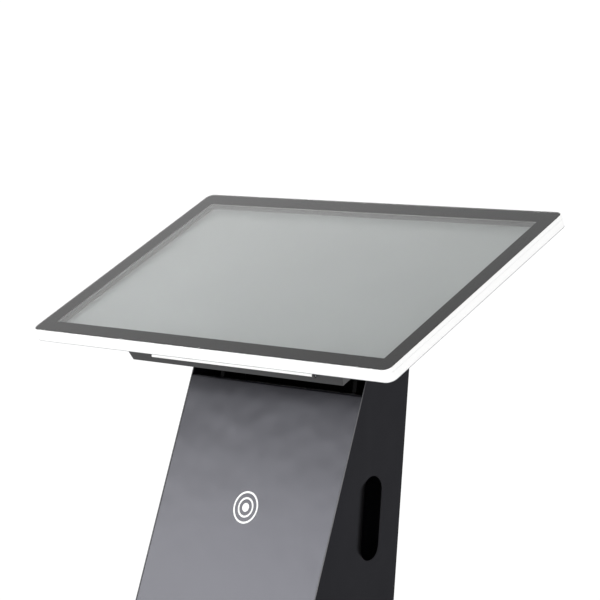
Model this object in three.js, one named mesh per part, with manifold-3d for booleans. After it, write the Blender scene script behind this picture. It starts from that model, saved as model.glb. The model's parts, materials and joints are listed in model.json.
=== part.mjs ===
// Free-standing touchscreen kiosk: a tilting 31.5 inch display on a sheet-steel pedestal.
// Millimetres, +Z up. The visitor stands on the -Y side and +X is at their right hand.
import * as THREE from 'three'
import { mergeVertices } from 'three/addons/utils/BufferGeometryUtils.js'
import Module from 'manifold-3d'

const wasm = await Module()
wasm.setup()

// ---------------------------------------------------------------- driving dimensions

const GAP = 0.3 // air kept between pieces that touch
const SHEET = 2 // pedestal sheet steel

// Display stack, measured down from the front of the glass.
const ACTIVE_WIDTH = 698.4
const ACTIVE_HEIGHT = 392.85
const BORDER = 29.4 // printed black border round the picture
const GLASS_THICKNESS = 4
const GLASS_RADIUS = 12
const MASK_THICKNESS = 0.4
const LCD_DEPTH = 15.4 // glass front to LCD surface
const LCD_THICKNESS = 2.6
const SEAM_DEPTH = 7 // joint between front frame and rear shell
const WALL_DEPTH = 18 // where the shell's straight wall ends
const SHELL_DEPTH = 22 // back of the shell
const SHELL_ROUND = 2.5 // how far the shell's rounded back edge runs in
const SHELL_WALL = 1.5
const FRAME_LIP = 1.5 // white rim outside the glass
const LEDGE_INSET = 10 // the ledge under the glass stops this far outside the picture

// Electronics cover: the dark box on the back of the shell.
const COVER_HALF_WIDTH = 225 // at its floor
const COVER_DRAFT = 0.34 // how much its sides spread for each mm towards the shell
const COVER_FRONT = -174.5
const COVER_REAR = 150
const COVER_DEPTH = 75
const COVER_WALL = 1.5

// Port flap on the cover's front face.
const FLAP_HALF_WIDTH = 172
const FLAP_TOP_DEPTH = 23
const FLAP_PIN_DEPTH = 61.3
const FLAP_THICKNESS = 2.5
const FLAP_PIN_OFFSET = 2.4 // pin axis in front of the cover's face
const FLAP_BARREL_RADIUS = 2
const FLAP_PIN_RADIUS = 1.2
const PORT_ROW_DEPTH = 44

// How the display stands.
const SCREEN_HEIGHT = 930 // centre of the glass above the floor
const TILT = THREE.MathUtils.degToRad(32)
const PIVOT_Y = 35
const PIVOT_HEIGHT = 815
const SHAFT_RADIUS = 8

// Pedestal.
const PEDESTAL_HALF_WIDTH = 184.9
const FRONT_LEAN = THREE.MathUtils.degToRad(14.4)
const FRONT_Y_AT_SCREEN = 29.1
const BACK_Y = 87.5
const SIDE_TOP_DEPTH = 101 // side panels end this far below the glass, parallel to it
const FRONT_TOP = 754.5
const GRIP_Y = 21.2
const GRIP_TOP = 632.4
const GRIP_WIDTH = 44.5
const GRIP_LENGTH = 130
const POST_WIDTH = 20
const POST_DEPTH = 15
const POST_TOP = 850
const DOOR_BOTTOM = 90
const DOOR_TOP = 630
const BACK_TOP = 845
const PANEL_SPLIT = 2 // gap round the door

// Door hinges and lock.
const DOOR_HINGE_HEIGHTS = { lower: 170, upper: 550 }
const DOOR_HINGE_HALF = 30
const DOOR_PIN_RADIUS = 2
const DOOR_BARREL_RADIUS = 4
const LOCK_X = 140
const LOCK_HEIGHT = 360

// Base and feet.
const BASE_WIDTH = 460
const BASE_FRONT = -257
const BASE_BACK = 163
const BASE_THICKNESS = 8
const BASE_RADIUS = 14
const FOOT_CLEARANCE = 12 // floor to the underside of the base plate
const FOOT_INSET = 40
const FOOT_PAD_RADIUS = 20
const FOOT_PAD_HEIGHT = 8
const FOOT_PAD_RIM = 4 // height of the pad's straight side
const FOOT_PAD_NECK = 12
const FOOT_STUD_RADIUS = 5
const FOOT_STUD_TOP = 34

const PEDESTAL_BOTTOM = FOOT_CLEARANCE + BASE_THICKNESS + GAP
const INNER_HALF_WIDTH = PEDESTAL_HALF_WIDTH - SHEET - GAP
const GLASS_WIDTH = ACTIVE_WIDTH + 2 * BORDER
const GLASS_HEIGHT = ACTIVE_HEIGHT + 2 * BORDER
const RIM = FRAME_LIP + GAP
const FRAME_WIDTH = GLASS_WIDTH + 2 * RIM
const FRAME_HEIGHT = GLASS_HEIGHT + 2 * RIM
const FRAME_RADIUS = GLASS_RADIUS + RIM

// ---------------------------------------------------------------- materials

const finish = (color, roughness, metalness = 0) =>
  new THREE.MeshStandardMaterial({ color, roughness, metalness })

const GLASS = () => {
  const clear = finish('#9aa3a0', 0.03)
  clear.transparent = true
  clear.opacity = 0.35
  return clear
}
const BLACK_INK = () => finish('#0a0a0b', 0.4)
const WHITE_PAINT = () => finish('#f4f4f2', 0.35)
const DARK_COVER = () => finish('#4a4b4e', 0.55)
const GRAPHITE_PAINT = () => finish('#2c2c32', 0.5)
const BLACK_STEEL = () => finish('#1b1b1d', 0.45, 0.4)
const ZINC = () => finish('#a9adb0', 0.35, 0.9)
const BRASS = () => finish('#b08a4a', 0.35, 0.9)
const BLACK_PLASTIC = () => finish('#16161a', 0.5)
const GREY_PLASTIC = () => finish('#6f7276', 0.5)
const RUBBER = () => finish('#111112', 0.85)
const LCD_GREY = () => finish('#5c625f', 0.3)
const CIRCUIT_GREEN = () => finish('#1f4d33', 0.5)

// ---------------------------------------------------------------- shapes and solids

function roundedRect(width, height, radius, cx = 0, cy = 0) {
  const left = cx - width / 2
  const right = cx + width / 2
  const bottom = cy - height / 2
  const top = cy + height / 2
  const shape = new THREE.Shape()
  shape.moveTo(left + radius, bottom)
  shape.lineTo(right - radius, bottom)
  shape.absarc(right - radius, bottom + radius, radius, -Math.PI / 2, 0)
  shape.lineTo(right, top - radius)
  shape.absarc(right - radius, top - radius, radius, 0, Math.PI / 2)
  shape.lineTo(left + radius, top)
  shape.absarc(left + radius, top - radius, radius, Math.PI / 2, Math.PI)
  shape.lineTo(left, bottom + radius)
  shape.absarc(left + radius, bottom + radius, radius, Math.PI, Math.PI * 1.5)
  return shape
}

function rect(width, height, cx = 0, cy = 0) {
  return polygon([
    [cx - width / 2, cy - height / 2],
    [cx + width / 2, cy - height / 2],
    [cx + width / 2, cy + height / 2],
    [cx - width / 2, cy + height / 2],
  ])
}

function polygon(points) {
  return new THREE.Shape(points.map(([x, y]) => new THREE.Vector2(x, y)))
}

function circle(radius, cx = 0, cy = 0) {
  const shape = new THREE.Shape()
  shape.absarc(cx, cy, radius, 0, Math.PI * 2)
  return shape
}

// A slot with round ends, its long side along the shape's second axis.
function obround(width, length, cx, cy) {
  const radius = width / 2
  const reach = length / 2 - radius
  const shape = new THREE.Shape()
  shape.absarc(cx, cy + reach, radius, 0, Math.PI)
  shape.absarc(cx, cy - reach, radius, Math.PI, Math.PI * 2)
  return shape
}

// Extrudes a shape from level low to level high along the shape's own normal.
function slab(shape, low, high, curveSegments = 6) {
  const geometry = new THREE.ExtrudeGeometry(shape, {
    depth: high - low,
    bevelEnabled: false,
    curveSegments,
  })
  return geometry.translate(0, 0, low)
}

const X = new THREE.Vector3(1, 0, 0)
const Y = new THREE.Vector3(0, 1, 0)
const Z = new THREE.Vector3(0, 0, 1)

// Shape drawn in (y, z), running from x = low to x = high.
function slabAlongX(shape, low, high, curveSegments) {
  const turn = new THREE.Matrix4().makeBasis(Y, Z, X)
  return slab(shape, low, high, curveSegments).applyMatrix4(turn)
}

// Shape drawn in (x, z), running from y = low to y = high.
function slabAlongY(shape, low, high, curveSegments) {
  const turn = new THREE.Matrix4().makeBasis(X, Z, Y.clone().negate())
  return slab(shape, -high, -low, curveSegments).applyMatrix4(turn)
}

function block(x0, x1, y0, y1, z0, z1) {
  const geometry = new THREE.BoxGeometry(x1 - x0, y1 - y0, z1 - z0)
  return geometry.translate((x0 + x1) / 2, (y0 + y1) / 2, (z0 + z1) / 2)
}

function toSolid(geometry) {
  const bare = geometry.clone()
  bare.deleteAttribute('normal')
  bare.deleteAttribute('uv')
  const merged = mergeVertices(bare)
  const vertProperties = new Float32Array(merged.attributes.position.array)
  const triVerts = new Uint32Array(merged.index.array)
  return new wasm.Manifold(new wasm.Mesh({ numProp: 3, vertProperties, triVerts }))
}

function toGeometry(solid) {
  const { vertProperties, triVerts } = solid.getMesh()
  const geometry = new THREE.BufferGeometry()
  geometry.setAttribute('position', new THREE.BufferAttribute(vertProperties, 3))
  geometry.setIndex(new THREE.BufferAttribute(triVerts, 1))
  return geometry
}

function carve(geometry, cutters) {
  const cut = cutters.reduce((rest, cutter) => rest.subtract(toSolid(cutter)), toSolid(geometry))
  return toGeometry(cut)
}

function join(geometries) {
  const [first, ...others] = geometries.map(toSolid)
  return toGeometry(others.reduce((sum, next) => sum.add(next), first))
}

function piece(group, name, geometry, material) {
  const mesh = new THREE.Mesh(geometry, material)
  mesh.name = name
  group.add(mesh)
  return mesh
}

// The same piece on both sides: build(side) gets +1 for the right and -1 for the left.
function bothSides(build) {
  build(-1, 'left')
  build(1, 'right')
}

// Orders a mirrored pair of x values.
function span(side, inner, outer) {
  return side > 0 ? [inner, outer] : [-outer, -inner]
}

// ---------------------------------------------------------------- display

const EDGE_BEVEL = 0.8
const MASK_INSET = 0.5
const LCD_MARGIN = 2 // the panel is this much wider than its picture, all round
const BEZEL_RAIL = 14
const BEZEL_RISE = 0.5 // the bezel stands this far above the LCD surface
const CABLE_WINDOW = { width: 100, height: 40, u: 60 }
const RIM_DROP = 0.4 // the white rim lies this far below the front of the glass

function addGlassAndLcd(display) {
  const glass = roundedRect(GLASS_WIDTH, GLASS_HEIGHT, GLASS_RADIUS)
  piece(display, 'cover_glass', slab(glass, -GLASS_THICKNESS, 0), GLASS())

  const mask = roundedRect(
    GLASS_WIDTH - 2 * MASK_INSET,
    GLASS_HEIGHT - 2 * MASK_INSET,
    GLASS_RADIUS - MASK_INSET
  )
  mask.holes.push(rect(ACTIVE_WIDTH, ACTIVE_HEIGHT))
  const maskTop = -GLASS_THICKNESS - GAP
  piece(display, 'border_mask', slab(mask, maskTop - MASK_THICKNESS, maskTop), BLACK_INK())

  const lcdWidth = ACTIVE_WIDTH + 2 * LCD_MARGIN
  const lcdHeight = ACTIVE_HEIGHT + 2 * LCD_MARGIN
  const lcdBack = -LCD_DEPTH - LCD_THICKNESS
  piece(display, 'lcd_panel', slab(rect(lcdWidth, lcdHeight), lcdBack, -LCD_DEPTH), LCD_GREY())

  const moduleFloor = -SHELL_DEPTH + SHELL_WALL + GAP
  const bezel = rect(lcdWidth + 2 * BEZEL_RAIL, lcdHeight + 2 * BEZEL_RAIL)
  bezel.holes.push(rect(lcdWidth + 2 * GAP, lcdHeight + 2 * GAP))
  piece(display, 'lcd_bezel', slab(bezel, moduleFloor, -LCD_DEPTH + BEZEL_RISE), ZINC())

  const backlight = rect(lcdWidth, lcdHeight)
  piece(display, 'backlight_tray', slab(backlight, moduleFloor, lcdBack - GAP), GREY_PLASTIC())
}

// A rounded block whose upper and lower edges are rolled off by inset over the given height.
function rolledBlock(low, high, inset, height, bevelSegments) {
  const shape = roundedRect(FRAME_WIDTH - 2 * inset, FRAME_HEIGHT - 2 * inset, FRAME_RADIUS - inset)
  const geometry = new THREE.ExtrudeGeometry(shape, {
    depth: high - low - 2 * height,
    bevelEnabled: true,
    bevelThickness: height,
    bevelSize: inset,
    bevelSegments,
    curveSegments: 6,
  })
  return geometry.translate(0, 0, low + height)
}

function addHousing(display) {
  const spare = 20 // the rolled edge that isn't wanted is made this far away and cut off
  const beyond = 500
  const ledge = -GLASS_THICKNESS - MASK_THICKNESS - 2 * GAP
  const frameBlock = rolledBlock(-SEAM_DEPTH - spare, -RIM_DROP, EDGE_BEVEL, EDGE_BEVEL, 2)
  const glassPocket = roundedRect(
    GLASS_WIDTH + 2 * GAP,
    GLASS_HEIGHT + 2 * GAP,
    GLASS_RADIUS + GAP
  )
  const window = rect(ACTIVE_WIDTH + 2 * LEDGE_INSET, ACTIVE_HEIGHT + 2 * LEDGE_INSET)
  const frame = carve(frameBlock, [
    block(-beyond, beyond, -beyond, beyond, -SEAM_DEPTH - 2 * spare, -SEAM_DEPTH),
    slab(glassPocket, ledge, spare),
    slab(window, -spare, spare),
  ])
  piece(display, 'front_frame', frame, WHITE_PAINT())

  const shellTop = -SEAM_DEPTH - GAP
  const roundHeight = SHELL_DEPTH - WALL_DEPTH
  const shellBlock = rolledBlock(-SHELL_DEPTH, shellTop + spare, SHELL_ROUND, roundHeight, 3)
  const cavity = roundedRect(
    FRAME_WIDTH - 2 * SHELL_WALL,
    FRAME_HEIGHT - 2 * SHELL_WALL,
    FRAME_RADIUS - SHELL_WALL
  )
  const cableWindow = rect(CABLE_WINDOW.width, CABLE_WINDOW.height, 0, CABLE_WINDOW.u)
  const shell = carve(shellBlock, [
    block(-beyond, beyond, -beyond, beyond, shellTop, spare),
    slab(cavity, -SHELL_DEPTH + SHELL_WALL, spare),
    slab(cableWindow, -SHELL_DEPTH - 1, 0),
  ])
  piece(display, 'rear_shell', shell, WHITE_PAINT())
}

const PORTS = [
  { name: 'usb_port_a', x: -62, width: 13.2, height: 5.8 },
  { name: 'usb_port_b', x: -38, width: 13.2, height: 5.8 },
  { name: 'hdmi_port', x: -8, width: 15.2, height: 5.6 },
]
const BUTTONS = [
  { name: 'power_button', x: 42, radius: 5 },
  { name: 'volume_down_button', x: 64, radius: 3.5 },
  { name: 'volume_up_button', x: 82, radius: 3.5 },
]
const BUTTON_CLEARANCE = 0.25
const GROMMET_RADIUS = 14
const GROMMET_U = 90
const GROMMET_LIP = 3
const FLOOR_VENTS = { count: 7, pitch: 9, width: 3, length: 44 }
const FLOOR_VENT_X = 150
const FLOOR_VENT_U = -20
const REAR_VENTS = { count: 14, pitch: 12, width: 3, length: 20 }
const EAR_GAP = 0.8 // beside the flap
const EAR_WIDTH = 5

function ventSlots({ count, pitch, width, length }, cx, cy) {
  const slots = []
  for (let i = 0; i < count; i += 1) {
    slots.push(obround(width, length, cx + (i - (count - 1) / 2) * pitch, cy))
  }
  return slots
}

function addElectronicsCover(display) {
  const halfWidth = (height) => COVER_HALF_WIDTH + (COVER_DEPTH + height) * COVER_DRAFT
  const section = (inset, floor, top) =>
    polygon([
      [inset - halfWidth(floor), floor],
      [halfWidth(floor) - inset, floor],
      [halfWidth(top) - inset, top],
      [inset - halfWidth(top), top],
    ])
  const coverTop = -SHELL_DEPTH - GAP
  const box = slabAlongY(section(0, -COVER_DEPTH, coverTop), COVER_FRONT, COVER_REAR)
  const hollow = slabAlongY(
    section(COVER_WALL, -COVER_DEPTH + COVER_WALL, coverTop + 1),
    COVER_FRONT + COVER_WALL,
    COVER_REAR - COVER_WALL
  )

  // Ears that carry the flap's pin.
  const pinU = COVER_FRONT - FLAP_PIN_OFFSET
  const ears = []
  const pinHoles = []
  bothSides((side) => {
    const earInner = FLAP_HALF_WIDTH + EAR_GAP
    const [x0, x1] = span(side, earInner, earInner + EAR_WIDTH)
    const reach = FLAP_BARREL_RADIUS + 0.4
    const [low, high] = [-FLAP_PIN_DEPTH - reach, -FLAP_PIN_DEPTH + reach]
    ears.push(block(x0, x1, pinU - reach, COVER_FRONT + 1, low, high))
    const hole = circle(FLAP_PIN_RADIUS + 0.1, pinU, -FLAP_PIN_DEPTH)
    pinHoles.push(slabAlongX(hole, x0 - 1, x1 + 1, 12))
  })

  const frontCuts = [
    ...PORTS.map(({ x, width, height }) =>
      roundedRect(width + 2 * GAP, height + 2 * GAP, 0.6, x, -PORT_ROW_DEPTH)
    ),
    ...BUTTONS.map(({ x, radius }) => circle(radius + BUTTON_CLEARANCE, x, -PORT_ROW_DEPTH)),
  ].map((shape) => slabAlongY(shape, COVER_FRONT - 1, COVER_FRONT + COVER_WALL + 1, 8))

  const floorCut = (shape, segments) =>
    slab(shape, -COVER_DEPTH - 1, -COVER_DEPTH + COVER_WALL + 1, segments)
  const floorCuts = [
    floorCut(circle(GROMMET_RADIUS + GAP, 0, GROMMET_U), 8),
    ...[-FLOOR_VENT_X, FLOOR_VENT_X]
      .flatMap((x) => ventSlots(FLOOR_VENTS, x, FLOOR_VENT_U))
      .map((slot) => floorCut(slot, 2)),
  ]

  const rearMiddle = -(COVER_DEPTH + SHELL_DEPTH) / 2
  const rearCuts = ventSlots(REAR_VENTS, 0, rearMiddle).map((shape) =>
    slabAlongY(shape, COVER_REAR - COVER_WALL - 1, COVER_REAR + 1, 2)
  )

  const cover = carve(join([box, ...ears]), [
    hollow,
    ...pinHoles,
    ...frontCuts,
    ...floorCuts,
    ...rearCuts,
  ])
  piece(display, 'electronics_cover', cover, DARK_COVER())

  const flangeShape = circle(GROMMET_RADIUS + GROMMET_LIP, 0, GROMMET_U)
  const flange = slab(flangeShape, -COVER_DEPTH - 2, -COVER_DEPTH - GAP, 8)
  const plugShape = circle(GROMMET_RADIUS, 0, GROMMET_U)
  const plug = slab(plugShape, -COVER_DEPTH - 1, -COVER_DEPTH + 5, 8)
  piece(display, 'cable_grommet', join([flange, plug]), RUBBER())
}

function addFlap(display) {
  const pinU = COVER_FRONT - FLAP_PIN_OFFSET
  const inner = COVER_FRONT - 0.4
  const leaf = block(
    -FLAP_HALF_WIDTH,
    FLAP_HALF_WIDTH,
    inner - FLAP_THICKNESS,
    inner,
    -FLAP_PIN_DEPTH,
    -FLAP_TOP_DEPTH
  )
  const barrel = circle(FLAP_BARREL_RADIUS, pinU, -FLAP_PIN_DEPTH)
  const bore = circle(FLAP_PIN_RADIUS + 0.1, pinU, -FLAP_PIN_DEPTH)
  const flap = carve(join([leaf, slabAlongX(barrel, -FLAP_HALF_WIDTH, FLAP_HALF_WIDTH, 12)]), [
    slabAlongX(bore, -FLAP_HALF_WIDTH - 1, FLAP_HALF_WIDTH + 1, 12),
  ])
  piece(display, 'port_flap', flap, WHITE_PAINT())

  const pin = circle(FLAP_PIN_RADIUS, pinU, -FLAP_PIN_DEPTH)
  const pinHalf = FLAP_HALF_WIDTH + EAR_GAP + EAR_WIDTH + 0.7
  piece(display, 'flap_hinge_pin', slabAlongX(pin, -pinHalf, pinHalf, 12), ZINC())
}

const PORT_LENGTH = 15
const PORT_MOUTH = 12 // how deep a plug goes in
const PORT_WALL = 0.5
const PORT_TONGUE = 1.8
const BUTTON_LENGTH = 6
const BUTTON_COLLAR = { width: 1.5, front: 3, back: 4.5 } // keeps the cap in the cover

function addPortsAndButtons(display) {
  const face = COVER_FRONT - 0.1
  for (const { name, x, width, height } of PORTS) {
    const outside = roundedRect(width, height, PORT_WALL, x, -PORT_ROW_DEPTH)
    const inside = rect(width - 2 * PORT_WALL, height - 2 * PORT_WALL, x, -PORT_ROW_DEPTH)
    const shell = slabAlongY(outside, face, face + PORT_LENGTH, 2)
    const mouth = slabAlongY(inside, face - 1, face + PORT_MOUTH)
    const tongueHalf = width / 2 - 3 * PORT_WALL
    const tongue = block(
      x - tongueHalf,
      x + tongueHalf,
      face + 1.2,
      face + PORT_MOUTH + 1,
      -PORT_ROW_DEPTH - PORT_TONGUE / 2,
      -PORT_ROW_DEPTH + PORT_TONGUE / 2
    )
    piece(display, name, join([carve(shell, [mouth]), tongue]), ZINC())
  }
  for (const { name, x, radius } of BUTTONS) {
    const cap = slabAlongY(circle(radius, x, -PORT_ROW_DEPTH), face, face + BUTTON_LENGTH, 8)
    const collarShape = circle(radius + BUTTON_COLLAR.width, x, -PORT_ROW_DEPTH)
    const collar = slabAlongY(collarShape, face + BUTTON_COLLAR.front, face + BUTTON_COLLAR.back, 8)
    piece(display, name, join([cap, collar]), GREY_PLASTIC())
  }
}

const BOARD = { halfWidth: 90, halfDepth: 60, thickness: 1.6, standoff: 6 }
const CHIPS = [
  { x0: -20, x1: 20, u0: -20, u1: 20, height: 9 },
  { x0: -75, x1: -45, u0: -40, u1: -10, height: 7 },
  { x0: 40, x1: 80, u0: 10, u1: 50, height: 12 },
  { x0: -80, x1: -20, u0: 44, u1: 56, height: 8 },
]
const SPEAKER = { inner: 112, outer: 188, front: -48, back: 8, basketHeight: 6, height: 26 }
const MAGNET_RADIUS = 20

function addBoardAndSpeakers(display) {
  const shelf = -COVER_DEPTH + COVER_WALL + BOARD.standoff
  const { halfWidth, halfDepth, thickness } = BOARD
  const mainBoard = block(-halfWidth, halfWidth, -halfDepth, halfDepth, shelf, shelf + thickness)
  const chips = CHIPS.map(({ x0, x1, u0, u1, height }) =>
    block(x0, x1, u0, u1, shelf + thickness / 2, shelf + height)
  )
  piece(display, 'controller_board', join([mainBoard, ...chips]), CIRCUIT_GREEN())

  bothSides((side, label) => {
    const [x0, x1] = span(side, SPEAKER.inner, SPEAKER.outer)
    const low = -COVER_DEPTH + COVER_WALL + GAP
    const basketTop = low + SPEAKER.basketHeight
    const basket = block(x0, x1, SPEAKER.front, SPEAKER.back, low, basketTop)
    const magnetShape = circle(MAGNET_RADIUS, (x0 + x1) / 2, (SPEAKER.front + SPEAKER.back) / 2)
    const magnet = slab(magnetShape, basketTop - 1, low + SPEAKER.height, 6)
    piece(display, `speaker_${label}`, join([basket, magnet]), BLACK_PLASTIC())
  })
}

// The pivot seen from the display: the same point in the tilted frame.
const PIVOT_DROP = PIVOT_HEIGHT - SCREEN_HEIGHT
const PIVOT_U = PIVOT_Y * Math.cos(TILT) + PIVOT_DROP * Math.sin(TILT)
const PIVOT_N = -PIVOT_Y * Math.sin(TILT) + PIVOT_DROP * Math.cos(TILT)

const TILT_PLATE = { width: 300, depth: 110, radius: 10, thickness: 3 }
const ARM_INNER = 124
const ARM_THICKNESS = 6
const ARM_END_RADIUS = 16
const ARM_TOP_HALF = 35
const ARM_ARC = { from: Math.PI * 1.08, to: Math.PI * 1.92 } // round end of the arm
const SHAFT_HALF_LENGTH = 170

function addTiltBracket(display) {
  const plateTop = -COVER_DEPTH - GAP
  const plateBottom = plateTop - TILT_PLATE.thickness
  const plate = roundedRect(TILT_PLATE.width, TILT_PLATE.depth, TILT_PLATE.radius, 0, PIVOT_U)
  piece(display, 'tilt_plate', slab(plate, plateBottom, plateTop, 4), BLACK_STEEL())

  bothSides((side, label) => {
    const profile = new THREE.Shape()
    profile.moveTo(PIVOT_U + ARM_TOP_HALF, plateBottom - GAP)
    profile.lineTo(PIVOT_U - ARM_TOP_HALF, plateBottom - GAP)
    profile.absarc(PIVOT_U, PIVOT_N, ARM_END_RADIUS, ARM_ARC.from, ARM_ARC.to)
    profile.holes.push(circle(SHAFT_RADIUS + GAP, PIVOT_U, PIVOT_N))
    const [x0, x1] = span(side, ARM_INNER, ARM_INNER + ARM_THICKNESS)
    piece(display, `tilt_arm_${label}`, slabAlongX(profile, x0, x1, 12), BLACK_STEEL())
  })

  const shaft = circle(SHAFT_RADIUS, PIVOT_U, PIVOT_N)
  piece(display, 'tilt_shaft', slabAlongX(shaft, -SHAFT_HALF_LENGTH, SHAFT_HALF_LENGTH, 16), ZINC())
}

// ---------------------------------------------------------------- pedestal

const FRONT_RECESS = 0.4 // the front panel lies this far behind the side panels' edges
const FLANGE = 15 // folded edge of a sheet
const TUBE_WALL = 1.5
const PANEL_VENTS = { count: 16, pitch: 14, width: 3, length: 60 }
const UPPER_VENT_HEIGHT = 700
const DOOR_VENT_HEIGHTS = [430, 160]

const frontY = (z) => FRONT_Y_AT_SCREEN + (z - SCREEN_HEIGHT) * Math.tan(FRONT_LEAN)
const sideTopZ = (y) => SCREEN_HEIGHT + (-SIDE_TOP_DEPTH + y * Math.sin(TILT)) / Math.cos(TILT)

function sideOutline() {
  const lean = Math.tan(FRONT_LEAN)
  const lip = -SIDE_TOP_DEPTH + FRONT_Y_AT_SCREEN * Math.sin(TILT)
  const frontDrop = lip / (Math.cos(TILT) - lean * Math.sin(TILT))
  const frontTopZ = SCREEN_HEIGHT + frontDrop
  const outline = polygon([
    [frontY(PEDESTAL_BOTTOM), PEDESTAL_BOTTOM],
    [BACK_Y, PEDESTAL_BOTTOM],
    [BACK_Y, sideTopZ(BACK_Y)],
    [frontY(frontTopZ), frontTopZ],
  ])
  outline.holes.push(obround(GRIP_WIDTH, GRIP_LENGTH, GRIP_Y, GRIP_TOP - GRIP_LENGTH / 2))
  return outline
}

function addPedestalPanels(pedestal) {
  bothSides((side, label) => {
    const [x0, x1] = span(side, PEDESTAL_HALF_WIDTH - SHEET, PEDESTAL_HALF_WIDTH)
    const panel = slabAlongX(sideOutline(), x0, x1, 14)
    piece(pedestal, `side_panel_${label}`, panel, GRAPHITE_PAINT())
  })

  const outer = (z) => frontY(z) + FRONT_RECESS
  const sheetRun = SHEET / Math.cos(FRONT_LEAN)
  const frontPanel = polygon([
    [outer(PEDESTAL_BOTTOM), PEDESTAL_BOTTOM],
    [outer(PEDESTAL_BOTTOM) + sheetRun, PEDESTAL_BOTTOM],
    [outer(FRONT_TOP - SHEET) + sheetRun, FRONT_TOP - SHEET],
    [outer(FRONT_TOP) + FLANGE, FRONT_TOP - SHEET],
    [outer(FRONT_TOP) + FLANGE, FRONT_TOP],
    [outer(FRONT_TOP), FRONT_TOP],
  ])
  const panel = slabAlongX(frontPanel, -INNER_HALF_WIDTH, INNER_HALF_WIDTH)
  piece(pedestal, 'front_panel', panel, GRAPHITE_PAINT())
}

const POST_INNER = INNER_HALF_WIDTH - POST_WIDTH
const POST_FRONT = BACK_Y - GAP - POST_DEPTH
const BACK_FACE = BACK_Y - GAP
const BACK_INNER_FACE = BACK_FACE - SHEET
const BACK_HALF_WIDTH = POST_INNER - PANEL_SPLIT

function addBack(pedestal) {
  bothSides((side, label) => {
    const [x0, x1] = span(side, POST_INNER, INNER_HALF_WIDTH)
    const post = rect(POST_WIDTH, POST_DEPTH, (x0 + x1) / 2, (POST_FRONT + BACK_FACE) / 2)
    const bore = rect(
      POST_WIDTH - 2 * TUBE_WALL,
      POST_DEPTH - 2 * TUBE_WALL,
      (x0 + x1) / 2,
      (POST_FRONT + BACK_FACE) / 2
    )
    post.holes.push(bore)
    piece(pedestal, `rear_post_${label}`, slab(post, PEDESTAL_BOTTOM, POST_TOP), BLACK_STEEL())
  })

  const upperBottom = DOOR_TOP + PANEL_SPLIT
  const upper = rect(2 * BACK_HALF_WIDTH, BACK_TOP - upperBottom, 0, (BACK_TOP + upperBottom) / 2)
  upper.holes.push(...ventSlots(PANEL_VENTS, 0, UPPER_VENT_HEIGHT))
  const upperPanel = slabAlongY(upper, BACK_INNER_FACE, BACK_FACE, 2)
  piece(pedestal, 'back_panel_upper', upperPanel, GRAPHITE_PAINT())

  const lowerTop = DOOR_BOTTOM - PANEL_SPLIT
  const middle = (lowerTop + PEDESTAL_BOTTOM) / 2
  const lower = rect(2 * BACK_HALF_WIDTH, lowerTop - PEDESTAL_BOTTOM, 0, middle)
  const hidden = 3 // the inlet's flange covers the hole's edges
  lower.holes.push(rect(INLET.width - hidden, INLET.height - hidden, INLET.x, INLET.z))
  const lowerPanel = slabAlongY(lower, BACK_INNER_FACE, BACK_FACE)
  piece(pedestal, 'back_panel_lower', lowerPanel, GRAPHITE_PAINT())
}

const LOCK_BARREL_RADIUS = 9.5
const LOCK_ROSETTE = { lip: 2.5, thickness: 2 }
const LOCK_PLUG_RADIUS = 6
const KEY_SLOT = { width: 1.2, height: 8, depth: 8 }
const CAM = { reach: 34, width: 14, thickness: 2.5 }

function addDoor(pedestal) {
  const door = rect(2 * BACK_HALF_WIDTH, DOOR_TOP - DOOR_BOTTOM, 0, (DOOR_TOP + DOOR_BOTTOM) / 2)
  door.holes.push(...DOOR_VENT_HEIGHTS.flatMap((height) => ventSlots(PANEL_VENTS, 0, height)))
  const lockHole = circle(LOCK_BARREL_RADIUS + GAP, LOCK_X, LOCK_HEIGHT)
  const panel = carve(slabAlongY(door, BACK_INNER_FACE, BACK_FACE, 2), [
    slabAlongY(lockHole, BACK_INNER_FACE - 1, BACK_FACE + 1, 10),
  ])
  piece(pedestal, 'service_door', panel, GRAPHITE_PAINT())
}

const HINGE_LEAF = 1.5
const HINGE_LEAF_REACH = 17

// Two lift-off hinges: the lower half of each barrel belongs to the post, the upper to the door.
function addDoorHinges(pedestal) {
  const pinX = -(POST_INNER - PANEL_SPLIT / 2)
  const pinY = BACK_FACE + GAP + DOOR_BARREL_RADIUS + 0.2
  const leafInner = BACK_FACE + GAP
  const leafOuter = leafInner + HINGE_LEAF
  const reach = HINGE_LEAF_REACH
  const free = DOOR_BARREL_RADIUS + 0.4 // how far a leaf stays from the other leaf's barrel
  for (const [label, height] of Object.entries(DOOR_HINGE_HEIGHTS)) {
    const low = height - DOOR_HINGE_HALF
    const high = height + DOOR_HINGE_HALF
    const makeLeaf = (direction, z0, z1) => {
      const [x0, x1] = span(direction, free, reach)
      const [k0, k1] = span(direction, 0, free + 1)
      const barrel = slab(circle(DOOR_BARREL_RADIUS, pinX, pinY), z0, z1, 8)
      const bore = slab(circle(DOOR_PIN_RADIUS + 0.1, pinX, pinY), z0 - 1, z1 + 1, 8)
      const wide = block(pinX + x0, pinX + x1, leafInner, leafOuter, low, high)
      const neck = block(pinX + k0, pinX + k1, leafInner, leafOuter, z0, z1)
      return carve(join([wide, neck, barrel]), [bore])
    }
    const postLeaf = makeLeaf(-1, low, height - GAP / 2)
    const doorLeaf = makeLeaf(1, height + GAP / 2, high)
    piece(pedestal, `hinge_post_leaf_${label}`, postLeaf, BLACK_STEEL())
    piece(pedestal, `hinge_door_leaf_${label}`, doorLeaf, BLACK_STEEL())
    const pin = slab(circle(DOOR_PIN_RADIUS, pinX, pinY), low + 1, high - 1, 8)
    piece(pedestal, `hinge_pin_${label}`, pin, ZINC())
  }
}

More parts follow.
